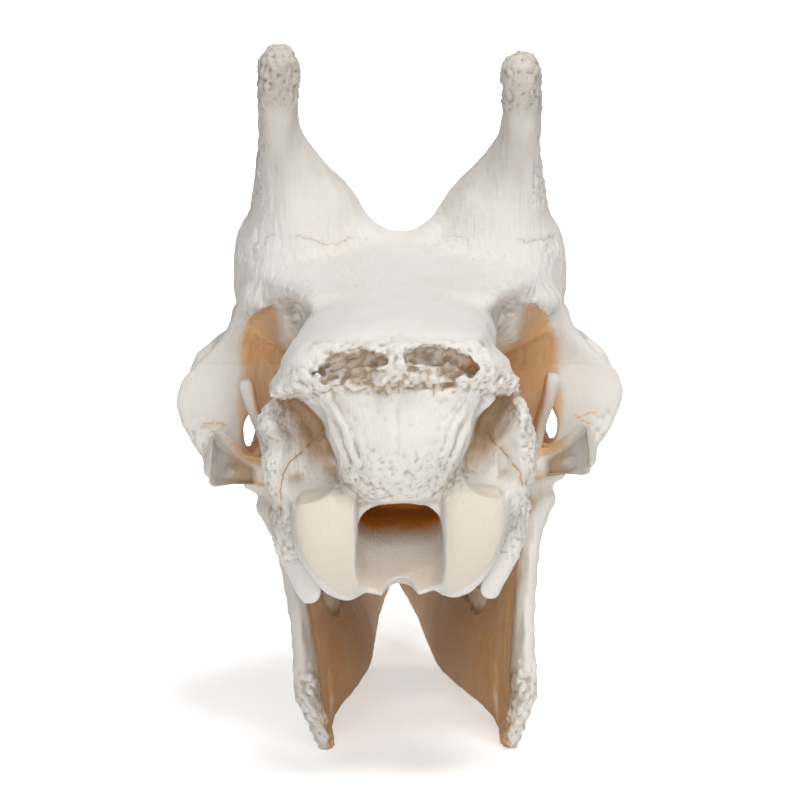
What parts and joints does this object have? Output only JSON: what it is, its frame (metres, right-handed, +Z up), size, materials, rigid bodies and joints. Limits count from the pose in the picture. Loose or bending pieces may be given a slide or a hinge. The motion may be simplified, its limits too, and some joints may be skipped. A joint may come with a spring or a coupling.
{
  "type": "giraffe skull",
  "caption": "Dry skull of an adult giraffe with its lower jaw and teeth, life size, resting on the angles and bodies of the jaw.",
  "frame": {"origin": "middle of the bounding box, on the level that the jaw rests on", "axes": "+Z up, +Y from the nape towards the nose, +X towards the animal's right side"},
  "size_m": [0.2642, 0.6192, 0.3938],
  "materials": {
    "braincase": "dry matt cream bone",
    "forehead": "dry matt cream bone",
    "ossicone_left": "dry matt cream bone",
    "ossicone_right": "dry matt cream bone",
    "cheekbone_left": "dry matt cream bone",
    "cheekbone_right": "dry matt cream bone",
    "nasal_bones": "dry matt cream bone",
    "premaxilla_left": "dry matt cream bone",
    "premaxilla_right": "dry matt cream bone",
    "upper_jaw": "dry matt cream bone",
    "mandible_left": "dry matt cream bone",
    "mandible_right": "dry matt cream bone"
  },
  "bodies": {
    "root": {"braincase": "braincase", "forehead": "forehead", "ossicone_left": "ossicone_left", "ossicone_right": "ossicone_right", "cheekbone_left": "cheekbone_left", "cheekbone_right": "cheekbone_right", "nasal_bones": "nasal_bones", "premaxilla_left": "premaxilla_left", "premaxilla_right": "premaxilla_right", "upper_jaw": "upper_jaw", "mandible_left": "mandible_left", "mandible_right": "mandible_right"}
  },
  "joints": []
}
